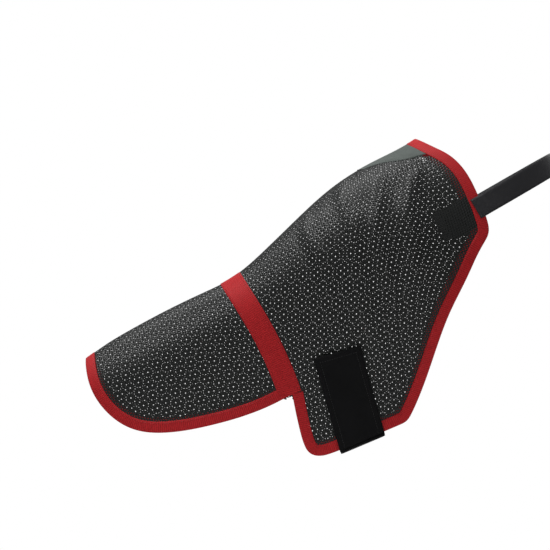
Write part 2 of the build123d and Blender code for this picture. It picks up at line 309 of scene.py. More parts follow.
def outer_rims(node):
    """The loops round the outer surface of a sheet of the model, as lists of points."""
    work = bmesh.new()
    work.from_mesh(frame["nodes"][node].data)
    bmesh.ops.remove_doubles(work, verts=work.verts, dist=0.01 * MM)
    work.faces.ensure_lookup_table()

    def outward(face):
        centre = face.calc_center_median()
        core = DOWN * centre.dot(DOWN) + UP * min(centre.dot(UP), Skin.CORE)
        way = (centre - core).normalized()
        return face.normal.dot(way)

    seed = max(work.faces, key=lambda face: face.calc_area() * (outward(face) > 0.8))
    found, front = {seed}, [seed]
    while front:
        face = front.pop()
        for edge in face.edges:
            for other in edge.link_faces:
                if other not in found and other.normal.angle(face.normal, 3) < math.radians(35):
                    found.add(other)
                    front.append(other)
    rim = [edge for face in found for edge in face.edges if sum(f in found for f in edge.link_faces) == 1]
    joined = {}
    for edge in set(rim):
        a, b = edge.verts
        joined.setdefault(a, []).append(b)
        joined.setdefault(b, []).append(a)
    loops = []
    while joined:
        start = next(iter(joined))
        line, here, before = [start], start, None
        while True:
            options = [v for v in joined.get(here, []) if v is not before and v not in line[1:]]
            if not options or options[0] is start:
                break
            before, here = here, options[0]
            line.append(here)
        for vertex in line:
            joined.pop(vertex, None)
        loops.append([vertex.co.copy() for vertex in line])
    work.free()
    return sorted(loops, key=len, reverse=True)


def unhooked(line, start=True, end=True):
    """A line cut at the first sharp corner near each end named, so that it leaves out a seam's end."""
    even = resampled(line, 2 * MM)
    if end:
        reach = min(18, len(even) // 3)
        turns = []
        for i in range(len(even) - reach, len(even) - 2):
            before, after = even[i] - even[i - 3], even[min(i + 3, len(even) - 1)] - even[i]
            cosine = before @ after / (np.linalg.norm(before) * np.linalg.norm(after) + 1e-12)
            turns.append(math.degrees(math.acos(max(-1, min(1, cosine)))))
        if max(turns) > 40:
            even = even[: len(even) - reach + int(np.argmax(turns)) + 1]
    if start:
        even = unhooked(even[::-1], False, True)[::-1]
    return even


def rim_within(node, other, reach=2.5 * MM):
    """The longest stretch of a node's outer rim that lies in another node."""
    near = node_tree(other)
    loop = outer_rims(node)[0]
    inside = [near.find_nearest(p)[3] < reach for p in loop]
    if all(inside):
        return loop + [loop[0]]
    start = next(i for i in range(len(loop)) if inside[i] and not inside[i - 1])
    best, run = [], []
    for k in range(len(loop) + 1):
        if k < len(loop) and inside[(start + k) % len(loop)]:
            run.append(loop[(start + k) % len(loop)])
            continue
        best = max(best, run, key=len)
        run = []
    return best


def corners_of(loop, one, two):
    """The indices in a loop of its four corners, in order, by the two directions given."""
    flat = np.array([(Vector(p).dot(one), Vector(p).dot(two)) for p in loop])
    flat = (flat - flat.min(0)) / (flat.max(0) - flat.min(0)) - 0.5
    return [int(np.argmax(flat @ np.array(way))) for way in ((-1, -1), (1, -1), (1, 1), (-1, 1))]


def four_sides(loop, one, two):
    """A loop cut at its four corners: the sides along one at the low and high end of two, then the others."""
    a, b, c, d = corners_of(loop, one, two)
    count = len(loop)

    def stretch(start, end):
        forward = [loop[(start + k) % count] for k in range((end - start) % count + 1)]
        back = [loop[(start - k) % count] for k in range((start - end) % count + 1)]
        others = [loop[k] for k in (a, b, c, d) if k not in (start, end)]
        return back if any(p is q for p in forward[1:-1] for q in others) else forward

    return stretch(a, b), stretch(d, c), stretch(a, d), stretch(b, c)


def coons(low, high, first, last, step):
    """A grid of points between four sides: low and high run one way, first and last the other."""
    def run(line):
        return np.linalg.norm(np.diff(np.array(line, float), axis=0), axis=1).sum()

    columns = max(3, int(max(run(low), run(high)) / step) + 1)
    rows = max(3, int(max(run(first), run(last)) / step) + 1)

    def even(line, count):
        line = np.array(line, float)
        at = np.concatenate([[0], np.cumsum(np.linalg.norm(np.diff(line, axis=0), axis=1))])
        where = np.linspace(0, at[-1], count)
        return np.column_stack([np.interp(where, at, line[:, k]) for k in range(3)])

    low, high = even(low, columns), even(high, columns)
    first, last = even(first, rows), even(last, rows)
    u = np.linspace(0, 1, columns)[None, :, None]
    v = np.linspace(0, 1, rows)[:, None, None]
    grid = (1 - v) * low[None] + v * high[None] + (1 - u) * first[:, None] + u * last[:, None]
    grid -= (1 - u) * (1 - v) * low[0] + u * (1 - v) * low[-1] + (1 - u) * v * high[0] + u * v * high[-1]
    return grid


def grid_normals(grid, outward):
    """A normal at each point of a grid, turned to the side of outward."""
    along = np.gradient(grid, axis=1)
    across = np.gradient(grid, axis=0)
    normals = np.cross(along, across)
    normals /= np.linalg.norm(normals, axis=2)[:, :, None] + 1e-12
    if (normals * outward).sum() < 0:
        normals = -normals
    return normals


def thick_sheet(name, grid, normals, outer, inner, mat, round_edge):
    """A sheet with rounded edges, between two heights over a grid of points."""
    rows, columns = grid.shape[:2]
    half = (outer - inner) / 2
    middle = (outer + inner) / 2
    i = np.arange(rows)[:, None]
    j = np.arange(columns)[None, :]
    edge = np.minimum(np.minimum(i, rows - 1 - i), np.minimum(j, columns - 1 - j))
    lift = np.where(edge == 0, max(half - round_edge, 0.2 * half), half)
    top = grid + normals * (middle + lift)[:, :, None]
    bottom = grid + normals * (middle - lift)[:, :, None]
    runs = np.linalg.norm(np.diff(grid, axis=1), axis=2).mean(0)
    drops = np.linalg.norm(np.diff(grid, axis=0), axis=2).mean(1)
    across = np.concatenate([[0], np.cumsum(runs)])
    down = np.concatenate([[0], np.cumsum(drops)])
    flat = np.stack(np.broadcast_arrays(across[None, :], down[:, None]), axis=2).reshape(-1, 2)
    count = rows * columns
    faces = grid_faces(rows, columns)
    square = np.cross(grid[0, 1] - grid[0, 0], grid[1, 0] - grid[0, 0])
    turned = square @ normals[0, 0] < 0
    if turned:
        faces = [f[::-1] for f in faces]
    faces += [tuple(count + k for k in f[::-1]) for f in faces]
    rim = list(range(columns)) + [i * columns + columns - 1 for i in range(1, rows)]
    rim += [(rows - 1) * columns + j for j in range(columns - 2, -1, -1)]
    rim += [i * columns for i in range(rows - 2, 0, -1)]
    for a, b in zip(rim, rim[1:] + rim[:1]):
        quad = (a, count + a, count + b, b)
        faces.append(quad[::-1] if turned else quad)
    vertices = np.concatenate([top.reshape(-1, 3), bottom.reshape(-1, 3)])
    return made(name, vertices, faces, np.concatenate([flat, flat]), mat)


# ---- materials and node trees ----------------------------------------------------------------------
def add(tree, kind, links=None, **settings):
    """Adds a node with its settings. links gives its inputs, each a socket to join or a plain value."""
    node = tree.nodes.new(kind)
    for key, value in settings.items():
        setattr(node, key, value)
    for key, value in (links or {}).items():
        if isinstance(value, bpy.types.NodeSocket):
            tree.links.new(value, node.inputs[key])
        else:
            node.inputs[key].default_value = value
    return node


def shade(tree, kind, links=None, **settings):
    """Adds a shader or maths node, by its short name."""
    return add(tree, "ShaderNode" + kind, links, **settings)


def geometry(tree, kind, links=None, **settings):
    """Adds a geometry node, by its short name."""
    return add(tree, "GeometryNode" + kind, links, **settings)


def function(tree, kind, links=None, **settings):
    """Adds a function node, by its short name."""
    return add(tree, "FunctionNode" + kind, links, **settings)


def material(name, tint, rough=0.6, sheen=0.0, specular=0.4, bump=None, tone=None):
    """A cloth material. bump(tree, spot) gives a height socket and a distance; tone(tree, spot) a shade of the
    tint: random mottle on cloth, painted shade between the ribs on webbing.
    """
    mat = bpy.data.materials.new(name)
    mat.use_nodes = True
    tree = mat.node_tree
    shader = tree.nodes["Principled BSDF"]
    shader.inputs["Roughness"].default_value = rough
    shader.inputs["Specular IOR Level"].default_value = specular
    shader.inputs["Sheen Weight"].default_value = sheen
    shader.inputs["Sheen Roughness"].default_value = 0.4
    shader.inputs["Base Color"].default_value = (*tint, 1)
    if bump or tone:
        spot = shade(tree, "UVMap", uv_map="UVMap").outputs["UV"]
    if tone:
        mix = shade(tree, "Mix", data_type="RGBA")
        tree.links.new(tone(tree, spot), mix.inputs[0])
        mix.inputs[6].default_value = (*(c * 0.55 for c in tint), 1)
        mix.inputs[7].default_value = (*(min(1, c * 1.25) for c in tint), 1)
        tree.links.new(mix.outputs[2], shader.inputs["Base Color"])
    if bump:
        height, distance = bump(tree, spot)
        relief = shade(tree, "Bump", {"Height": height, "Distance": distance, "Strength": 0.8})
        tree.links.new(relief.outputs["Normal"], shader.inputs["Normal"])
    return mat


def waves(tree, spot, axis, pitch):
    """A height that rises and falls along one axis of the UV map."""
    part = shade(tree, "SeparateXYZ", {"Vector": spot}).outputs[axis]
    turn = shade(tree, "Math", {0: part, 1: 2 * math.pi / pitch}, operation="MULTIPLY").outputs[0]
    wave = shade(tree, "Math", {0: turn}, operation="SINE").outputs[0]
    return shade(tree, "Math", {0: wave, 1: 0.5, 2: 0.5}, operation="MULTIPLY_ADD").outputs[0]


def weave(pitch_along, pitch_across, depth):
    """Bump of a woven cloth: ribs one way, crossed by threads the other."""
    def build(tree, spot):
        ribs = waves(tree, spot, 0, pitch_along)
        threads = waves(tree, spot, 1, pitch_across)
        return shade(tree, "Math", {0: ribs, 1: threads}, operation="MULTIPLY").outputs[0], depth
    return build


def mottle(scale):
    """A slow uneven shade, as dyed cloth has."""
    def build(tree, spot):
        return shade(tree, "TexNoise", {"Vector": spot, "Scale": scale, "Detail": 3.0}).outputs[0]
    return build


def painted_rib_shade_and_mottle(pitch, patch):
    """Tone of webbing: painted shade, dark in the hollows between its ribs, and a little uneven at random."""
    def build(tree, spot):
        ribs = waves(tree, spot, 0, pitch)
        noise = shade(tree, "TexNoise", {"Vector": spot, "Scale": patch, "Detail": 3.0}).outputs[0]
        # The rib wave is painted shade, darkest in the hollows between the ribs; the noise is random unevenness of
        # the dye.
        mix = shade(tree, "Math", {0: ribs, 1: 0.75}, operation="MULTIPLY").outputs[0]
        return shade(tree, "Math", {0: noise, 1: 0.4, 2: mix}, operation="MULTIPLY_ADD").outputs[0]
    return build


# ---- Geometry Nodes --------------------------------------------------------------------------------
def tree_with(name, inputs):
    """A geometry tree with a geometry input and the inputs named, each given by its kind."""
    tree = bpy.data.node_groups.new(name, "GeometryNodeTree")
    tree.interface.new_socket("Geometry", in_out="INPUT", socket_type="NodeSocketGeometry")
    for key, kind in inputs.items():
        tree.interface.new_socket(key, in_out="INPUT", socket_type=kind)
    tree.interface.new_socket("Geometry", in_out="OUTPUT", socket_type="NodeSocketGeometry")
    return tree, add(tree, "NodeGroupInput").outputs, add(tree, "NodeGroupOutput")


def applied(obj, tree, values):
    """Runs a geometry tree on an object with the values given, and keeps the result as a plain mesh."""
    modifier = obj.modifiers.new("Nodes", "NODES")
    modifier.node_group = tree
    names = {item.name: item.identifier for item in tree.interface.items_tree if item.in_out == "INPUT"}
    for key, value in values.items():
        modifier[names[key]] = value
    bpy.context.view_layer.update()
    result = bpy.data.meshes.new_from_object(obj.evaluated_get(bpy.context.evaluated_depsgraph_get()))
    obj.modifiers.clear()
    obj.data = result


def net_tree():
    """Net: a flat field of knotted rings, laid on the sheet by its UV map."""
    tree, given, out = tree_with(
        "Net",
        {
            "Pitch": "NodeSocketFloat",
            "Hole": "NodeSocketFloat",
            "Relief": "NodeSocketFloat",
            "Turn": "NodeSocketVector",
            "Low": "NodeSocketVector",
            "Rows": "NodeSocketInt",
            "Columns": "NodeSocketInt",
            "Material": "NodeSocketMaterial",
        },
    )

    def math_of(operation, a, b=0.0):
        return shade(tree, "Math", {0: a, 1: b}, operation=operation).outputs[0]

    pitch = given["Pitch"]
    drop = math_of("MULTIPLY", pitch, math.sqrt(3) / 2)
    points = geometry(tree, "MeshGrid", {"Vertices X": given["Columns"], "Vertices Y": given["Rows"]})
    index = geometry(tree, "InputIndex").outputs[0]
    column = math_of("FLOOR", math_of("DIVIDE", math_of("ADD", index, 0.5), given["Rows"]))
    row = math_of("SUBTRACT", index, math_of("MULTIPLY", column, given["Rows"]))
    stagger = math_of("MULTIPLY", math_of("MODULO", row, 2.0), 0.5)
    x = math_of("MULTIPLY", math_of("ADD", column, stagger), pitch)
    square = shade(tree, "CombineXYZ", {0: x, 1: math_of("MULTIPLY", row, drop)}).outputs[0]
    half = math_of("MULTIPLY", pitch, 0.5)
    reach = shade(
        tree,
        "CombineXYZ",
        {
            0: math_of("MULTIPLY", given["Columns"], half),
            1: math_of("MULTIPLY", given["Rows"], math_of("MULTIPLY", drop, 0.5)),
        },
    ).outputs[0]
    centred = shade(tree, "VectorMath", {0: square, 1: reach}, operation="SUBTRACT").outputs[0]
    turned = shade(
        tree, "VectorRotate", {"Vector": centred, "Rotation": given["Turn"]}, rotation_type="EULER_XYZ"
    ).outputs[0]
    spot = shade(tree, "VectorMath", {0: turned, 1: given["Low"]}, operation="ADD").outputs[0]
    laid = geometry(tree, "SetPosition", {"Geometry": points.outputs["Mesh"], "Position": spot}).outputs[0]
    inside = geometry(
        tree,
        "SampleUVSurface",
        {"Mesh": given["Geometry"], "Sample UV": geometry(tree, "InputPosition").outputs[0]},
        data_type="FLOAT_VECTOR",
    )
    map_ = geometry(tree, "InputNamedAttribute", {"Name": "UVMap"}, data_type="FLOAT_VECTOR").outputs[0]
    tree.links.new(map_, inside.inputs["Source UV Map"])
    outside = function(tree, "BooleanMath", {0: inside.outputs["Is Valid"]}, operation="NOT").outputs[0]
    kept = geometry(
        tree, "DeleteGeometry", {"Geometry": laid, "Selection": outside}, domain="POINT"
    ).outputs[0]

    cell = geometry(
        tree,
        "MeshCircle",
        {"Vertices": 6, "Radius": math_of("DIVIDE", pitch, math.sqrt(3))},
        fill_type="NGON",
    ).outputs[0]
    rim = geometry(tree, "Transform", {"Geometry": cell, "Rotation": (0, 0, math.radians(30))}).outputs[0]
    grown = geometry(
        tree,
        "ExtrudeMesh",
        {"Mesh": rim, "Offset": (0, 0, -1), "Offset Scale": given["Relief"], "Individual": False},
        mode="FACES",
    )
    small = geometry(
        tree,
        "ScaleElements",
        {"Geometry": grown.outputs["Mesh"], "Selection": grown.outputs["Top"], "Scale": given["Hole"]},
    ).outputs[0]
    ring = geometry(
        tree, "DeleteGeometry", {"Geometry": small, "Selection": grown.outputs["Top"]}, domain="FACE"
    ).outputs[0]
    turn = function(tree, "EulerToRotation", {0: given["Turn"]}).outputs[0]
    net = geometry(tree, "InstanceOnPoints", {"Points": kept, "Instance": ring, "Rotation": turn}).outputs[0]
    net = geometry(tree, "RealizeInstances", {"Geometry": net}).outputs[0]
    close = math_of("MULTIPLY", pitch, 0.08)
    net = geometry(tree, "MergeByDistance", {"Geometry": net, "Distance": close}).outputs[0]
    flat = geometry(tree, "InputPosition").outputs[0]
    net = geometry(
        tree,
        "StoreNamedAttribute",
        {"Geometry": net, "Name": "Flat", "Value": flat},
        data_type="FLOAT_VECTOR",
        domain="POINT",
    ).outputs[0]
    flat = geometry(tree, "InputNamedAttribute", {"Name": "Flat"}, data_type="FLOAT_VECTOR").outputs[0]

    def sampled(value):
        surface = geometry(
            tree,
            "SampleUVSurface",
            {"Mesh": given["Geometry"], "Source UV Map": map_, "Sample UV": flat},
            data_type="FLOAT_VECTOR",
        )
        tree.links.new(value, surface.inputs["Value"])
        return surface.outputs

    place = sampled(geometry(tree, "InputPosition").outputs[0])
    square = sampled(geometry(tree, "InputNormal").outputs[0])
    off = function(tree, "BooleanMath", {0: place["Is Valid"]}, operation="NOT").outputs[0]
    height = shade(tree, "SeparateXYZ", {"Vector": flat}).outputs[2]
    lift = shade(tree, "VectorMath", {0: square["Value"], "Scale": height}, operation="SCALE").outputs[0]
    final = shade(tree, "VectorMath", {0: place["Value"], 1: lift}, operation="ADD").outputs[0]
    keep = geometry(
        tree,
        "StoreNamedAttribute",
        {"Geometry": net, "Name": "Off", "Value": off},
        data_type="BOOLEAN",
        domain="POINT",
    ).outputs[0]
    net = geometry(tree, "SetPosition", {"Geometry": keep, "Position": final}).outputs[0]
    off = geometry(tree, "InputNamedAttribute", {"Name": "Off"}, data_type="BOOLEAN").outputs[0]
    net = geometry(tree, "DeleteGeometry", {"Geometry": net, "Selection": off}, domain="POINT").outputs[0]
    net = geometry(
        tree,
        "StoreNamedAttribute",
        {"Geometry": net, "Name": "UVMap", "Value": flat},
        data_type="FLOAT2",
        domain="CORNER",
    ).outputs[0]
    net = geometry(tree, "SetMaterial", {"Geometry": net, "Material": given["Material"]}).outputs[0]
    tree.links.new(net, out.inputs[0])
    return tree


def stitch_tree():
    """Stitches: short rounded threads set end to end along lines."""
    tree, given, out = tree_with(
        "Stitches",
        {
            "Pitch": "NodeSocketFloat",
            "Thread": "NodeSocketFloat",
            "Share": "NodeSocketFloat",
            "Material": "NodeSocketMaterial",
        },
    )
    line = geometry(tree, "MeshToCurve", {"Mesh": given["Geometry"]}).outputs[0]
    spots = geometry(
        tree, "CurveToPoints", {"Curve": line, "Length": given["Pitch"]}, mode="LENGTH"
    )
    run = shade(tree, "Math", {0: given["Pitch"], 1: given["Share"]}, operation="MULTIPLY").outputs[0]
    thread = geometry(
        tree,
        "MeshCylinder",
        {"Vertices": 6, "Radius": given["Thread"], "Depth": run, "Side Segments": 3},
        fill_type="TRIANGLE_FAN",
    ).outputs[0]
    position = geometry(tree, "InputPosition").outputs[0]
    height = shade(tree, "SeparateXYZ", {"Vector": position}).outputs[2]
    ends = shade(tree, "Math", {0: height}, operation="ABSOLUTE").outputs[0]
    reach = shade(tree, "Math", {0: run, 1: 0.3}, operation="MULTIPLY").outputs[0]
    at_end = function(tree, "Compare", {0: ends, 1: reach}, operation="GREATER_THAN").outputs[0]
    squeeze = shade(
        tree,
        "VectorMath",
        {0: geometry(tree, "InputPosition").outputs[0], 1: (0.45, 0.45, 1)},
        operation="MULTIPLY",
    ).outputs[0]
    thread = geometry(
        tree, "SetPosition", {"Geometry": thread, "Selection": at_end, "Position": squeeze}
    ).outputs[0]
    row = geometry(
        tree,
        "InstanceOnPoints",
        {"Points": spots.outputs["Points"], "Instance": thread, "Rotation": spots.outputs["Rotation"]},
    ).outputs[0]
    row = geometry(tree, "RealizeInstances", {"Geometry": row}).outputs[0]
    row = geometry(tree, "SetShadeSmooth", {0: row, "Shade Smooth": True}).outputs[0]
    row = geometry(tree, "SetMaterial", {"Geometry": row, "Material": given["Material"]}).outputs[0]
    tree.links.new(row, out.inputs[0])
    return tree


def tuft_tree():
    """Small hooks or loops standing on a sheet, spread evenly."""
    tree, given, out = tree_with(
        "Tufts",
        {
            "Density": "NodeSocketFloat",
            "Spacing": "NodeSocketFloat",
            "Height": "NodeSocketFloat",
            "Thread": "NodeSocketFloat",
            "Material": "NodeSocketMaterial",
        },
    )
    spread = geometry(
        tree,
        "DistributePointsOnFaces",
        {
            "Mesh": given["Geometry"],
            "Distance Min": given["Spacing"],
            "Density Max": given["Density"],
            "Seed": 7,
        },
        distribute_method="POISSON",
    )
    sizes = {"Resolution": 6, "Radius": given["Height"], "Sweep Angle": math.pi * 1.25}
    arc = geometry(tree, "CurveArc", sizes).outputs[0]
    upright = geometry(tree, "Transform", {"Geometry": arc, "Rotation": (math.pi / 2, 0, 0)}).outputs[0]
    ring = geometry(tree, "CurvePrimitiveCircle", {"Resolution": 3, "Radius": given["Thread"]}).outputs[0]
    round_it = {"Curve": upright, "Profile Curve": ring, "Fill Caps": True}
    hook = geometry(tree, "CurveToMesh", round_it).outputs[0]
    tufts = geometry(
        tree,
        "InstanceOnPoints",
        {"Points": spread.outputs["Points"], "Instance": hook, "Rotation": spread.outputs["Rotation"]},
    ).outputs[0]
    tufts = geometry(tree, "RealizeInstances", {"Geometry": tufts}).outputs[0]
    tufts = geometry(tree, "SetMaterial", {"Geometry": tufts, "Material": given["Material"]}).outputs[0]
    tree.links.new(tufts, out.inputs[0])
    return tree


# ---- what the operators share ----------------------------------------------------------------------
class Shop:
    """The skin, the trees and the materials, made once and used by every operator."""

    def __init__(self):
        scene = bpy.context.scene
        webbing, cloth = scene.flymask_webbing, scene.flymask_cloth
        self.skin = Skin()
        self.net_tree = net_tree()
        self.stitch_tree = stitch_tree()
        self.tuft_tree = tuft_tree()
        # Coated polyester net: smooth threads, which shine softly where they turn up to the light.
        self.net = material("PVC-coated polyester net", scene.flymask_net.tint, rough=0.38, specular=0.22)
        # Woven polypropylene binding: red, its ribs a little lighter than the hollows between them, which are
        # darkened with painted shade.
        red = webbing.red
        self.binding = material(
            "Ribbed polypropylene binding",
            red,
            rough=0.6,
            specular=0.15,
            tone=painted_rib_shade_and_mottle(webbing.rib, 90),
            bump=weave(webbing.rib, 1.1 * MM, 0.25 * MM),
        )
        # Black polypropylene strap webbing: a fine weave with a faint shine, its rib hollows darkened with painted
        # shade.
        self.strap = material(
            "Polypropylene strap webbing",
            webbing.black,
            rough=0.5,
            specular=0.2,
            tone=painted_rib_shade_and_mottle(1.6 * MM, 120),
            bump=weave(1.6 * MM, 1.2 * MM, 0.3 * MM),
        )
        # Inner seam tape: thin matt cotton tape.
        cotton = weave(1.2 * MM, 1.2 * MM, 0.1 * MM)
        self.tape = material("Cotton seam tape", linear("2A2B2B"), rough=0.8, bump=cotton)
        # Gusset: close-knit polyester with a soft grey-green face.
        self.gusset = material(
            "Close-knit polyester",
            cloth.gusset,
            rough=0.7,
            specular=0.2,
            tone=mottle(40),
            bump=weave(1.4 * MM, 1.0 * MM, 0.15 * MM),
        )
        # Closure: black laminated cloth, almost without texture.
        self.closure = material(
            "Laminated black cloth", cloth.closure, rough=0.7, specular=0.06, tone=mottle(30)
        )
        # Loop tape: brushed nylon with a dull nap.
        self.loop = material(
            "Brushed nylon loop tape", linear("17181A"), rough=0.9, sheen=0.5, tone=mottle(300)
        )
        # Hook tape: bare moulded nylon, which shines a little.
        self.hook = material("Moulded nylon hooks", linear("1B1C1E"), rough=0.4)
        # Sewing thread: bonded nylon, one colour for each cloth it crosses.
        self.red_thread = material("Red bonded thread", linear("8E1216"), rough=0.45)
        self.black_thread = material("Black bonded thread", linear("101112"), rough=0.45)
        self.pale_thread = material("Grey bonded thread", linear("6B716E"), rough=0.5)
        self.rims = {}
        self.find_rims()

    def find_rims(self):
        """The lines the bindings run on, each from its first end to its last."""
        def plain(line, start=False, end=False):
            return smoothed(resampled(unhooked([tuple(p) for p in line], start, end), 4 * MM), 2)

        def mirror(line):
            return np.array(line) * (1, -1, 1)

        side_crown = rim_within("face_mesh_left", "crown_binding")
        if side_crown[0][2] < side_crown[-1][2]:
            side_crown = side_crown[::-1]
        side_crown = plain(side_crown, start=True)
        gusset_crown = plain(rim_within("crown_gusset", "crown_binding"), True, True)
        if gusset_crown[0][1] > gusset_crown[-1][1]:
            gusset_crown = gusset_crown[::-1]
        crown = np.concatenate([side_crown[::-1], gusset_crown, mirror(side_crown)])
        rear = plain(rim_within("face_mesh_left", "rear_binding_left"))
        if rear[0][2] < rear[-1][2]:
            rear = rear[::-1]
        cheek = plain(rim_within("face_mesh_left", "cheek_binding_left"))
        if cheek[0][0] < cheek[-1][0]:
            cheek = cheek[::-1]
        nose = plain(rim_within("nose_mesh", "nose_edge_binding"), True, True)
        if nose[0][1] > nose[-1][1]:
            nose = nose[::-1]
        band = plain(rim_within("nose_mesh", "nose_band"), True, True)
        if band[0][1] > band[-1][1]:
            band = band[::-1]
        crown = smoothed(resampled(crown, 4 * MM), 4)
        self.rims = {"crown": crown, "rear": rear, "cheek": cheek, "nose": nose, "band": band}

    def flat(self, point):
        """How far a point is down the head and round it from the ridge, on the skin."""
        near, _ = self.skin.on(Vector(point))
        along = near.dot(DOWN)
        row = (along - self.skin.rows[0]) / self.skin.STEP
        i = int(np.clip(round(row), 0, len(self.skin.rows) - 1))
        line = self.skin.points[i] * (1, 1 if near.y <= 0 else -1, 1)
        gaps = np.linalg.norm(line - np.array(near), axis=1)
        j = int(np.argmin(gaps))
        best = (np.inf, 0)
        for k in (j - 1, j):
            if 0 <= k < len(line) - 1:
                span = line[k + 1] - line[k]
                f = float(np.clip((np.array(near) - line[k]) @ span / (span @ span), 0, 1))
                gap = np.linalg.norm(line[k] + span * f - np.array(near))
                best = min(best, (gap, self.skin.across[i][k] * (1 - f) + self.skin.across[i][k + 1] * f))
        return along, best[1] * (1 if near.y <= 0 else -1)


shop = None


def dressed(obj, body, nodes=()):
    """Declares what a piece rides on, and hides the model pieces it stands for."""
    if nodes:
        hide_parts(*nodes)
    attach(obj, body)
    return obj


# Each profile lists (inward from the rim, height over the skin), once round the section, in mm.
FOLDED = (
    (15.0, 0.1), (15.1, 0.7), (14.6, 1.0), (10.0, 1.05), (5.0, 1.05), (1.4, 1.05), (0.2, 0.8), (-0.5, 0.1),
    (-0.7, -0.7), (-0.5, -1.4), (0.2, -2.0), (1.4, -2.2), (5.0, -2.2), (10.0, -2.2), (13.0, -2.2), (13.6, -1.9),
    (13.4, -1.4), (10.0, -1.3), (5.0, -1.3), (1.2, -1.2), (0.4, -0.6), (1.2, 0.0), (5.0, 0.1), (10.0, 0.1),
)  # fmt: skip


TAPE_HEIGHTS = (-2.05, -1.25)  # of the seam tapes inside the mask, in mm over the skin
RIB_DEPTH = 0.16  # mm
CLOTH_STEP = 4 * MM


def flat_profile(half, low, high):
    """A strip's section, half its width to each side of its line, between two heights, with rounded edges."""
    top = np.linspace(half - 0.5, -half + 0.5, 9)
    section = [(half, (low + high) / 2)] + [(x, high) for x in top] + [(-half, (low + high) / 2)]
    return tuple(section + [(x, low) for x in top[::-1]])


def swept(name, path, profile, mat, inward, rib=None, lift=0.0):
    """Webbing along a line on the skin, made of its section, with ribs across it."""
    skin = shop.skin
    path = resampled(path, 3 * MM)
    tangent = np.gradient(path, axis=0)
    tangent /= np.linalg.norm(tangent, axis=1)[:, None]
    tangent = smoothed(tangent, 2)
    coarse, coarse_normals = [], []
    for p, t in zip(path, tangent):
        base, normal = skin.on(Vector(p))
        way = normal.cross(Vector(t)).normalized() * inward
        row, normals = [], []
        for s, h in profile:
            spot, square = skin.on(base + way * s * MM)
            if s < 0:
                spot, square = base + way * s * MM, normal
            row.append(spot + square * (h + lift) * MM)
            normals.append(square)
        coarse.append(row)
        coarse_normals.append(normals)
    coarse, coarse_normals = np.array(coarse), np.array(coarse_normals)
    for _ in range(2):
        coarse[1:-1] = (coarse[:-2] + 2 * coarse[1:-1] + coarse[2:]) / 4
    at = np.concatenate([[0], np.cumsum(np.linalg.norm(np.diff(path, axis=0), axis=1))])
    step = rib / 4 if rib else 3 * MM
    fine = np.linspace(0, at[-1], max(2, int(at[-1] / step) + 1))
    count = len(profile)
    rows = np.empty((len(fine), count, 3))
    normals = np.empty_like(rows)
    for k in range(count):
        for c in range(3):
            rows[:, k, c] = np.interp(fine, at, coarse[:, k, c])
            normals[:, k, c] = np.interp(fine, at, coarse_normals[:, k, c])
    if rib:
        heights = np.array([h for _, h in profile])
        face = np.where(heights > 0.6, 1.0, np.where(heights < -1.8, -1.0, 0.0))
        if heights.min() > -0.5:
            face = np.where(heights >= heights.max() - 0.05, 1.0, 0.0)
        wave = np.abs(np.sin(math.pi * fine / rib)) - 1
        rows += normals * (face[None, :] * wave[:, None] * RIB_DEPTH * MM)[:, :, None]
    spans = [math.dist(*pair) for pair in zip(profile, profile[1:])]
    around = np.concatenate([[0], np.cumsum(spans)]) * MM
    uv = np.stack(np.broadcast_arrays(fine[:, None], around[None, :]), axis=2).reshape(-1, 2)
    faces = grid_faces(len(fine), count, closed=True)
    faces += [tuple(range(count))[::-1], tuple((len(fine) - 1) * count + k for k in range(count))]
    middle = rows[len(fine) // 2]
    centre = middle.mean(0)
    first = np.array(faces[(len(fine) // 2) * count])
    corners = rows.reshape(-1, 3)[first]
    out = np.cross(corners[2] - corners[0], corners[3] - corners[1]) @ (corners.mean(0) - centre)
    if out < 0:
        faces = [f[::-1] for f in faces]
    return made(name, rows.reshape(-1, 3), faces, uv, mat)


def trimmed(obj, point, way):
    """Cuts off what lies past a plane, on the side of the head that the point is on, and closes the cut."""
    work = bmesh.new()
    work.from_mesh(obj.data)
    near = [v for v in work.verts if v.co.y * point.y > 0]
    edges = {e for v in near for e in v.link_edges}
    everything = near + list(edges) + list({f for v in near for f in v.link_faces})
    cut = bmesh.ops.bisect_plane(work, geom=everything, plane_co=point, plane_no=way, clear_outer=True)
    rim = [e for e in cut["geom_cut"] if isinstance(e, bmesh.types.BMEdge)]
    bmesh.ops.contextual_create(work, geom=rim)
    work.to_mesh(obj.data)
    work.free()


def stretched(path, start, end):
    """A line carried straight on past its ends by the lengths given, in mm; a minus length cuts it back."""
    line = resampled(path, 3 * MM)
    for amount in (end, start):
        if amount < 0:
            line = line[: len(line) + int(amount / 3)]
        elif amount > 0:
            way = line[-1] - line[-4]
            way /= np.linalg.norm(way)
            more = [line[-1] + way * 3 * MM * k for k in range(1, int(amount / 3) + 1)]
            line = np.concatenate([line, more])
        line = line[::-1]
    return line


def stitches(name, lines, mat, body, pitch=None, thread=0.32 * MM, share=0.72):
    """Rows of stitches along lines that already lie on the cloth's face."""
    vertices, edges = [], []
    for line in lines:
        line = resampled(line, 3 * MM)
        start = len(vertices)
        vertices += [tuple(p) for p in line]
        edges += [(start + k, start + k + 1) for k in range(len(line) - 1)]
    obj = made(name, vertices, [], edges=edges)
    pitch = pitch or bpy.context.scene.flymask_webbing.stitch
    applied(obj, shop.stitch_tree, {"Pitch": pitch, "Thread": thread, "Share": share, "Material": mat})
    return dressed(obj, body)


def beside(path, inward, distance, height):
    """A line beside another on the skin, at a distance from it and a height over the skin, in mm."""
    skin = shop.skin
    path = resampled(path, 3 * MM)
    tangent = np.gradient(path, axis=0)
    line = []
    for p, t in zip(path, tangent):
        base, normal = skin.on(Vector(p))
        way = normal.cross(Vector(t)).normalized() * inward
        line.append(skin.on(base + way * distance * MM, height * MM)[0])
    return smoothed([tuple(p) for p in line], 2)


def mirrored(path):
    """The same line on the other side of the head."""
    return np.array(path) * (1, -1, 1)


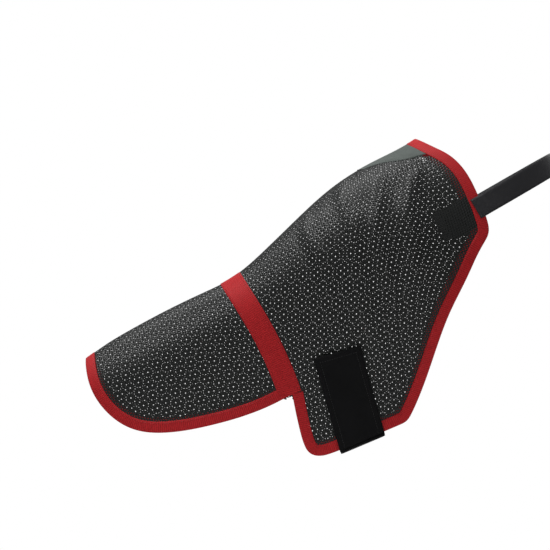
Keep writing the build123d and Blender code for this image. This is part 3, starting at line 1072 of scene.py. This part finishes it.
# ---- the net ---------------------------------------------------------------------------------------
def creases(along, around):
    """How far the face net stands off the skin: a few long soft folds from brow to cheek, in metres."""
    across = abs(around)
    height = 0.0
    for lead, slant, width, size in (
        (0.030, 0.62, 0.012, 3.0),
        (0.085, 0.50, 0.010, 2.4),
        (0.135, 0.42, 0.013, 3.4),
        (0.200, 0.30, 0.011, 2.6),
    ):
        off = along - lead - slant * (across - 0.10) - 0.006 * math.sin(across * 40 + lead * 90)
        fold = math.exp(-((off / width) ** 2))
        hollow = math.exp(-(((off - 1.6 * width) / width) ** 2))
        height += size * (fold - 0.35 * hollow)
    height += 0.5 * math.sin(along * 52 + 31 * across) * math.sin(across * 47)
    return height * MM


def net_panel(name, node, outline, rides, fold):
    """One panel of net over an outline on the flat skin, its yarn laid by the net tree."""
    settings = bpy.context.scene.flymask_net
    points = np.array(outline)
    low, high = points.min(0), points.max(0)
    step = 4 * MM
    rows = int((high[0] - low[0]) / step) + 2
    columns = int((high[1] - low[1]) / step) + 2

    def inside(x, y):
        hits = False
        for (x1, y1), (x2, y2) in zip(points, np.roll(points, -1, 0)):
            if (y1 > y) != (y2 > y) and x < (x2 - x1) * (y - y1) / (y2 - y1) + x1:
                hits = not hits
        return hits

    used, vertices, uvs, faces = {}, [], [], []

    def corner(i, j):
        if (i, j) not in used:
            along, around = low[0] + i * step, low[1] + j * step
            spot = shop.skin.place(along, around)
            edge = np.sqrt(((points - (along, around)) ** 2).sum(1).min())
            calm = min(1, max(0, (edge - 14 * MM) / (30 * MM)))
            normal = shop.skin.on(spot)[1]
            spot = spot + normal * fold(along, around) * calm * calm * (3 - 2 * calm)
            used[i, j] = len(vertices)
            vertices.append(spot)
            uvs.append((along, around))
        return used[i, j]

    for i in range(rows):
        for j in range(columns):
            x, y = low[0] + (i + 0.5) * step, low[1] + (j + 0.5) * step
            if inside(x, y):
                faces.append((corner(i, j), corner(i + 1, j), corner(i + 1, j + 1), corner(i, j + 1)))
    obj = made(name, vertices, faces, uvs)
    if obj.data.polygons[0].normal.dot(shop.skin.on(vertices[0])[1]) < 0:
        obj.data.flip_normals()
    flat_size = (high[0] - low[0], high[1] - low[1])
    pitch = settings.pitch
    values = {
        "Pitch": pitch,
        "Hole": settings.hole,
        "Relief": 0.35 * MM,
        "Turn": (0.0, 0.0, settings.turn),
        "Low": (float(low[0] + high[0]) / 2, float(low[1] + high[1]) / 2, 0.0),
        "Rows": int(math.hypot(*flat_size) / (pitch * math.sqrt(3) / 2)) + 2,
        "Columns": int(math.hypot(*flat_size) / pitch) + 2,
        "Material": shop.net,
    }
    applied(obj, shop.net_tree, values)
    dressed(obj, rides, [node])


def flat_outline(node, moves):
    """A panel's outline on the flat skin, each point moved square to the edge by what moves(point) says."""
    loop = outer_rims(node)[0]
    pairs = np.array([shop.flat(p) for p in loop])
    ahead, behind = np.roll(pairs, -1, 0), np.roll(pairs, 1, 0)
    way = ahead - behind
    square = np.column_stack([way[:, 1], -way[:, 0]]) / (np.linalg.norm(way, axis=1)[:, None] + 1e-9)
    turn = np.sum(pairs[:, 0] * ahead[:, 1] - ahead[:, 0] * pairs[:, 1])
    square = square if turn > 0 else -square
    amounts = np.array([moves(Vector(p)) for p in loop])
    return pairs + square * amounts[:, None]


def cloth_piece(name, node, ways, thickness, mat, body, skin_heights=None, edge=0.4 * MM, ends_off=0):
    """A four-sided cloth piece where the model has it: by its own outer face, or at heights over the skin."""
    sides = four_sides(outer_rims(node)[0], *ways)
    sides = [smoothed(resampled([tuple(p) for p in side], CLOTH_STEP), 3) for side in sides]
    grid = coons(*sides, CLOTH_STEP)
    if ends_off:
        grid = grid[:, ends_off:-ends_off]
    centre = grid.reshape(-1, 3).mean(0)
    outward = np.array(shop.skin.on(Vector(centre))[1])
    normals = grid_normals(grid, outward)
    target = node_tree(node)
    rows, columns = grid.shape[:2]
    for i in range(rows):
        for j in range(columns):
            spot = Vector(grid[i, j])
            if skin_heights:
                near, normal = shop.skin.on(spot)
                grid[i, j], normals[i, j] = near, normal
            elif 0 < i < rows - 1 and 0 < j < columns - 1:
                hit = target.ray_cast(spot + Vector(normals[i, j]) * 0.03, -Vector(normals[i, j]), 0.06)
                if hit[0]:
                    grid[i, j] = hit[0]
    for _ in range(2):
        beside_it = grid[:-2, 1:-1] + grid[2:, 1:-1] + grid[1:-1, :-2] + grid[1:-1, 2:]
        grid[1:-1, 1:-1] = (beside_it + 4 * grid[1:-1, 1:-1]) / 8
    if not skin_heights:
        normals = grid_normals(grid, outward)
    high, low = skin_heights or (0.0, -thickness)
    obj = thick_sheet(name, grid, normals, high, low, mat, edge)
    dressed(obj, body, [node])
    wide = np.linalg.norm(np.diff(grid, axis=1), axis=2).sum(1).max()
    tall = np.linalg.norm(np.diff(grid, axis=0), axis=2).sum(0).max()
    return obj, grid, normals


# ---- operators -------------------------------------------------------------------------------------
class FLYMASK_OT_nets(bpy.types.Operator):
    """Builds the three panels of net"""

    bl_idname = "flymask.nets"
    bl_label = "Net panels"

    def execute(self, context):
        gusset = node_tree("crown_gusset")
        band = node_tree("nose_band")
        edges = node_tree(["crown_binding", "rear_binding_left", "cheek_binding_left", "nose_edge_binding"])

        def face_moves(point):
            if edges.find_nearest(point)[3] < 2 * MM:
                return -3 * MM
            if gusset.find_nearest(point)[3] < 2 * MM:
                return 5 * MM
            if band.find_nearest(point)[3] < 2 * MM:
                return 4 * MM
            return 4 * MM if abs(point.y) < 1.5 * MM else -3 * MM

        def nose_moves(point):
            bound = edges.find_nearest(Vector((point.x, -abs(point.y), point.z)))[3] < 2 * MM
            return 4 * MM if band.find_nearest(point)[3] < 2 * MM and not bound else -3 * MM

        left = flat_outline("face_mesh_left", face_moves)
        net_panel("net_left", "face_mesh_left", left, "mask", creases)
        net_panel("net_right", "face_mesh_right", left * (1, -1), "mask", creases)
        net_panel("net_nose", "nose_mesh", flat_outline("nose_mesh", nose_moves), "mask", nose_folds)
        return {"FINISHED"}


def nose_folds(along, around):
    """How far the nose net stands off the skin: shallow slow waves."""
    return 0.6 * MM * math.sin(along * 38 + 9 * around) * math.sin(around * 33 + 1.0)


class FLYMASK_OT_webbing(bpy.types.Operator):
    """Builds the red webbing on the edges and over the nose seam"""

    bl_idname = "flymask.webbing"
    bl_label = "Edge webbing"

    def execute(self, context):
        settings = context.scene.flymask_webbing
        rims = shop.rims
        rows = []

        def bind(name, path, node, lift=0.0, start=0, end=0):
            inward = self.turn(path)
            piece = swept(name, stretched(path, start, end), FOLDED, shop.binding, inward, settings.rib, lift)
            dressed(piece, "mask", [node])
            rows.append(beside(stretched(path, -6, -6), inward, 12.6, 1.0 + lift))

        bind("binding_crown", rims["crown"], "crown_binding", 0.12)
        bind("binding_nose", rims["nose"], "nose_edge_binding", 0.1, 15, 15)
        for hand, flip in (("left", np.array), ("right", mirrored)):
            bind(f"binding_rear_{hand}", flip(rims["rear"]), f"rear_binding_{hand}", 0.06)
            bind(f"binding_cheek_{hand}", flip(rims["cheek"]), f"cheek_binding_{hand}", end=15)
        half = settings.band * 500
        path = stretched(rims["band"], 18, 18)
        band = swept("band_nose", path, flat_profile(half, 0.15, 1.3), shop.binding, 1, settings.rib)
        nose = rims["nose"]
        for end, inner in ((0, 6), (-1, -7)):
            base, normal = shop.skin.on(Vector(nose[end]))
            way = normal.cross(Vector(nose[inner] - nose[end])).normalized()
            if way.dot(Vector(path[len(path) // 2]) - base) > 0:
                way = -way
            trimmed(band, base, way)
        dressed(band, "mask", ["nose_band"])
        rows += [beside(rims["band"], hand, half - 2.6, 1.3) for hand in (1, -1)]
        stitches("stitches_red", rows, shop.red_thread, "mask")
        seam = stretched(rims["band"], -9, -9)
        lining = swept("lining_nose_seam", seam, flat_profile(13, *TAPE_HEIGHTS), shop.tape, 1)
        dressed(lining, "mask", ["nose_band_lining"])
        return {"FINISHED"}

    def turn(self, path):
        """Which side of a rim the mask lies on."""
        middle = len(path) // 2
        point = Vector(path[middle])
        base, normal = shop.skin.on(point)
        way = normal.cross(Vector(path[middle + 1] - path[middle - 1])).normalized()
        nets = node_tree(["face_mesh_left", "face_mesh_right", "nose_mesh", "crown_gusset"])
        near = nets.find_nearest(base + way * 8 * MM)[3]
        far = nets.find_nearest(base - way * 8 * MM)[3]
        return 1 if near < far else -1


class FLYMASK_OT_gusset(bpy.types.Operator):
    """Builds the crown gusset, the seam tapes and the patches inside"""

    bl_idname = "flymask.gusset"
    bl_label = "Gusset and tapes"

    def execute(self, context):
        face = 0.75 * MM
        _, grid, normals = cloth_piece(
            "gusset", "crown_gusset", (SIDE, DOWN), 1.4 * MM, shop.gusset, "mask",
            skin_heights=(face, -0.3 * MM), edge=0.5 * MM, ends_off=2,
        )  # fmt: skip
        front = smoothed((grid[-2] + normals[-2] * face)[4:-4], 2)
        seam = smoothed((grid[-1] + normals[-1] * 0.4 * MM)[3:-3], 2)
        stitches("stitches_gusset", [front], shop.pale_thread, "mask", 4 * MM, 0.4 * MM, 0.6)
        stitches("seam_gusset", [seam], shop.black_thread, "mask", 2 * MM, 1.0 * MM, 1.0)
        low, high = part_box("centre_seam_tape")
        start = Vector((high.x, 0, high.z)).dot(DOWN)
        end = Vector((low.x, 0, low.z)).dot(DOWN)
        ridge = [shop.skin.place(a, 0) for a in np.arange(start, end, 5 * MM)]
        tape = swept("tape_centre_seam", ridge, flat_profile(7, *TAPE_HEIGHTS), shop.tape, 1)
        dressed(tape, "mask", ["centre_seam_tape"])
        for hand in ("left", "right"):
            cloth_piece(
                f"patch_{hand}", f"anchor_patch_{hand}", (BACK, UP), 0.8 * MM, shop.tape, "mask",
                skin_heights=(-1.25 * MM, -2.0 * MM), edge=0.2 * MM,
            )  # fmt: skip
        return {"FINISHED"}


STRAP_WIDTH = 30 * MM
HALF_WEBBING = 0.9  # mm, half the thickness of the poll strap
SEWN_HEIGHT = 2.1  # mm, from the skin to the middle of the strap's sewn ends
HEAD_SIDE = 90 * MM  # out past the widest part of the crown
# The box of stitches on a sewn end, with its diagonal: (along the strap, across it), in mm.
SEWN_BOX = ((-10.5, -12.5), (-10.5, 12.5), (-1.5, 12.5), (-1.5, -12.5), (-10.5, -12.5), (-1.5, 12.5))


class FLYMASK_OT_strap(bpy.types.Operator):
    """Builds the poll strap, sewn to the rear binding on each side"""

    bl_idname = "flymask.strap"
    bl_label = "Poll strap"

    def execute(self, context):
        run = (CREST - PIVOT).normalized()
        lift = Vector((-run.z, 0, run.x))
        centre = PIVOT + run * 17 * MM
        target = node_tree("poll_strap")
        half = STRAP_WIDTH / 2
        arch = []
        for turn in range(-96, 97, 4):
            way = run * math.cos(math.radians(turn)) + SIDE * math.sin(math.radians(turn))
            hit = target.ray_cast(centre + way * 0.3, -way, 0.3)
            arch.append(hit[0] - way * 1.0 * MM)
        left_end = []
        for along in (-13 * MM, -8 * MM, -3 * MM):
            left_end.append(shop.skin.on(PIVOT + run * along + SIDE * HEAD_SIDE, SEWN_HEIGHT * MM)[0])
        right_end = [Vector((p.x, -p.y, p.z)) for p in left_end]
        path = smoothed(resampled([tuple(p) for p in right_end + arch + left_end[::-1]], 2.5 * MM), 4)
        tangent = np.gradient(path, axis=0)
        tangent /= np.linalg.norm(tangent, axis=1)[:, None]
        at = np.concatenate([[0], np.cumsum(np.linalg.norm(np.diff(path, axis=0), axis=1))])
        top = [(u, HALF_WEBBING) for u in np.linspace(-half + 0.4 * MM, half - 0.4 * MM, 9)]
        section = [(-half, 0.0)] + top + [(half, 0.0)] + [(u, -HALF_WEBBING) for u, _ in top[::-1]]
        vertices, uvs = [], []
        for p, t, s in zip(path, tangent, at):
            p, t = Vector(p), Vector(t)
            out = t.cross(lift).normalized()
            if out.dot(p - centre) < 0:
                out = -out
            reach = ((p - PIVOT).dot(run) - 2 * MM) / (16 * MM)
            free = min(1, max(0, reach))
            free = free * free * (3 - 2 * free)
            for u, h in section:
                plane = p + lift * u + out * h * MM
                spot, normal = shop.skin.on(p + lift * u)
                sewn = spot + normal * (SEWN_HEIGHT + h) * MM
                vertices.append(sewn.lerp(plane, free))
                uvs.append((s, u + (0.04 if h < 0 else 0)))
        count = len(section)
        faces = grid_faces(len(path), count, closed=True)
        faces += [tuple(range(count))[::-1], tuple((len(path) - 1) * count + k for k in range(count))]
        strap = made("strap_poll", vertices, faces, uvs, shop.strap)
        middle = faces[(len(path) // 2) * count + 4]
        corners = [vertices[k] for k in middle]
        if (corners[2] - corners[0]).cross(corners[3] - corners[1]).dot(run) < 0:
            strap.data.flip_normals()
        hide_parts("poll_strap", "strap_end_left", "strap_end_right")
        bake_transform(strap)
        lines = []
        for side in (1, -1):
            corners = []
            for along, across in SEWN_BOX:
                spot = PIVOT + run * along * MM + lift * across * MM + SIDE * HEAD_SIDE * side
                corners.append(tuple(shop.skin.on(spot, 3.0 * MM)[0]))
            lines += [list(pair) for pair in zip(corners, corners[1:])]
        stitches("stitches_strap", lines, shop.black_thread, "mask", 3.0 * MM)
        return {"FINISHED"}


STRAP_CLOTH = 1.9 * MM  # thickness of the strap under the jaw


class FLYMASK_OT_closure(bpy.types.Operator):
    """Builds the closure under the jaw: its tab, hook and loop pads, and the strap between the cheeks"""

    bl_idname = "flymask.closure"
    bl_label = "Jaw closure"

    def execute(self, context):
        settings = context.scene.flymask_webbing
        ways = FOLD, UNDER
        _, tab, out = cloth_piece(
            "closure_tab_cloth", "closure_tab", ways, 1.8 * MM, shop.closure, "closure",
            edge=0.5 * MM,
        )  # fmt: skip
        edge = [tab[2:-1, 2], tab[2:-1, -3], tab[2, 2:-2]]
        face = [out[2:-1, 2], out[2:-1, -3], out[2, 2:-2]]
        rows = [smoothed(line + normal * 0.05 * MM, 2) for line, normal in zip(edge, face)]
        stitches("stitches_closure", rows, shop.black_thread, "closure", settings.stitch, 0.25 * MM)
        cloth_piece("loop_pad", "closure_loop_pad", ways, 1.4 * MM, shop.loop, "mask")
        hook_tape = 0.8 * MM
        _, pad, square = cloth_piece(
            "hook_pad_tape", "hook_pad", ways, hook_tape, shop.hook, "closure"
        )
        rows, columns = pad.shape[:2]
        inner = pad - square * hook_tape
        bed = made("hooks", inner.reshape(-1, 3), grid_faces(rows, columns))
        if bed.data.polygons[0].normal.dot(Vector(square[0, 0])) > 0:
            bed.data.flip_normals()
        values = {
            "Density": 300000.0,
            "Spacing": 2.4 * MM,
            "Height": 0.35 * MM,
            "Thread": 0.12 * MM,
            "Material": shop.hook,
        }
        applied(bed, shop.tuft_tree, values)
        dressed(bed, "closure")
        cloth_piece(
            "jaw_strap_end", "jaw_strap_anchor", ways, STRAP_CLOTH, shop.closure, "mask"
        )
        self.jaw_strap()
        self.fold("fold_left", NEAR_FOLD)
        self.fold("fold_right", FAR_FOLD)
        return {"FINISHED"}

    def fold(self, name, centre):
        """The rolled edge that the closure folds on, a cord of cloth along the line it turns about."""
        radius, half = 1.6 * MM, 33.5 * MM
        rings = []
        for along, size in ((-half, 0.5), (-half + 0.6 * MM, 1), (half - 0.6 * MM, 1), (half, 0.5)):
            for turn in range(0, 360, 30):
                way = UNDER * math.cos(math.radians(turn)) + SIDE * math.sin(math.radians(turn))
                rings.append(centre + FOLD * along + way * radius * size)
        faces = grid_faces(4, 12, closed=True) + [tuple(range(12))[::-1], tuple(range(36, 48))]
        uvs = [(p.dot(FOLD), (k % 12) * 0.8 * MM) for k, p in enumerate(rings)]
        roll = made(name, rings, faces, uvs, shop.closure)
        side = roll.data.polygons[14]
        if side.normal.dot(side.center - centre - FOLD * (side.center - centre).dot(FOLD)) < 0:
            roll.data.flip_normals()
        dressed(roll, "jaw_strap")

    def jaw_strap(self):
        """The strap that passes under the jaw from one fold to the other."""
        target = node_tree("jaw_strap")
        half = 34 * MM
        across = np.linspace(NEAR_FOLD.y, FAR_FOLD.y, 25)
        ways = np.linspace(-half, half, 19)
        grid = np.zeros((len(ways), len(across), 3))
        for i, u in enumerate(ways):
            for j, y in enumerate(across):
                spot = NEAR_FOLD + FOLD * float(u) * 0.99
                spot.y = float(y) * 0.985
                hit = target.ray_cast(spot + UNDER * 0.06, -UNDER, 0.12)
                spot = hit[0] if hit[0] else spot + UNDER * 1.4 * MM
                grid[i, j] = (spot.x, spot.y, spot.z)
        for _ in range(3):
            grid[:, 1:-1] = (grid[:, :-2] + 2 * grid[:, 1:-1] + grid[:, 2:]) / 4
        normals = grid_normals(grid, np.array(UNDER))
        strap = thick_sheet("jaw_strap_cloth", grid, normals, 0.0, -STRAP_CLOTH, shop.closure, 0.4 * MM)
        dressed(strap, "jaw_strap", ["jaw_strap"])


CAMERA_AT = (-0.196, -4.348, -0.1876)
LENS, SENSOR = 200, 36
LIT_SPOT = Vector((-0.15, 0, -0.22))
FLOOR_HEIGHT = -0.75
# Each lamp's place, power in watts and size.
LAMPS = {
    "Key": ((-0.9, -0.2, 1.6), 45, 0.9),
    "Front": ((-0.9, -2.2, 0.7), 8, 1.4),
    "Far": ((0.6, 1.8, 1.0), 10, 1.4),
}
# The background's shade by the direction's height: 0 is straight down, 0.5 level and 1 straight up.
SKY = ((0.0, 0.08), (0.40, 0.15), (0.44, 1.0), (0.56, 1.0), (0.60, 0.35), (1.0, 0.7))


class FLYMASK_OT_stage(bpy.types.Operator):
    """Sets the camera, the lights and the floor"""

    bl_idname = "flymask.stage"
    bl_label = "Stage"

    def execute(self, context):
        scene = context.scene
        data = bpy.data.cameras.new("Camera")
        data.lens, data.sensor_width = LENS, SENSOR
        camera = bpy.data.objects.new("Camera", data)
        camera.location = CAMERA_AT
        camera.rotation_euler = (math.pi / 2, 0, 0)
        scene.collection.objects.link(camera)
        scene.camera = camera
        scene.view_settings.view_transform = "Standard"
        world = scene.world or bpy.data.worlds.new("World")
        scene.world = world
        world.use_nodes = True
        tree = world.node_tree
        way = shade(tree, "TexCoord").outputs["Generated"]
        height = shade(tree, "SeparateXYZ", {"Vector": way}).outputs[2]
        spot = shade(tree, "Math", {0: height, 1: 0.5, 2: 0.5}, operation="MULTIPLY_ADD").outputs[0]
        sky = shade(tree, "ValToRGB", {"Fac": spot})
        marks = sky.color_ramp.elements
        for k, (at, grey) in enumerate(SKY):
            mark = marks[k] if k < 2 else marks.new(at)
            mark.position, mark.color = at, (grey, grey, grey, 1)
        tree.links.new(sky.outputs["Color"], tree.nodes["Background"].inputs["Color"])
        for name, (where, power, size) in LAMPS.items():
            lamp = bpy.data.lights.new(name, "AREA")
            lamp.energy, lamp.size = power, size
            light = bpy.data.objects.new(name, lamp)
            light.location = where
            light.rotation_euler = (LIT_SPOT - Vector(where)).to_track_quat("-Z", "Y").to_euler()
            scene.collection.objects.link(light)
        pale = bpy.data.materials.new("Pale matt floor")
        pale.use_nodes = True
        surface = pale.node_tree.nodes["Principled BSDF"].inputs
        surface["Base Color"].default_value = (*linear("F2F2F2"), 1)
        surface["Roughness"].default_value = 0.9
        turns = [math.radians(t) for t in range(0, 360, 6)]
        ring = [(math.cos(t), math.sin(t), FLOOR_HEIGHT) for t in turns]
        floor = made("floor", ring, [tuple(range(len(ring)))], material=pale, smooth=False)
        return {"FINISHED"}


class FLYMASK_PT_panel(bpy.types.Panel):
    """The fly mask's settings and steps"""

    bl_idname = "FLYMASK_PT_panel"
    bl_label = "Fly mask"
    bl_space_type = "VIEW_3D"
    bl_region_type = "UI"
    bl_category = "Fly mask"

    def draw(self, context):
        for name in ("flymask_net", "flymask_webbing", "flymask_cloth"):
            group = getattr(context.scene, name)
            box = self.layout.box()
            for key in group.bl_rna.properties.keys():
                if key not in ("rna_type", "name"):
                    box.prop(group, key)
        for step in STEPS:
            self.layout.operator(step.bl_idname)


STEPS = (
    FLYMASK_OT_nets,
    FLYMASK_OT_webbing,
    FLYMASK_OT_gusset,
    FLYMASK_OT_strap,
    FLYMASK_OT_closure,
    FLYMASK_OT_stage,
)
GROUPS = {
    "flymask_net": FLYMASK_PG_net,
    "flymask_webbing": FLYMASK_PG_webbing,
    "flymask_cloth": FLYMASK_PG_cloth,
}


def register():
    for cls in (*GROUPS.values(), *STEPS, FLYMASK_PT_panel):
        bpy.utils.register_class(cls)
    for name, group in GROUPS.items():
        setattr(bpy.types.Scene, name, bpy.props.PointerProperty(type=group))


def unregister():
    for name in GROUPS:
        delattr(bpy.types.Scene, name)
    for cls in (FLYMASK_PT_panel, *STEPS[::-1], *list(GROUPS.values())[::-1]):
        bpy.utils.unregister_class(cls)


def main():
    global shop
    register()
    shop = Shop()
    bpy.ops.flymask.nets()
    bpy.ops.flymask.webbing()
    bpy.ops.flymask.gusset()
    bpy.ops.flymask.strap()
    bpy.ops.flymask.closure()
    bpy.ops.flymask.stage()


if __name__ == "__main__":
    main()
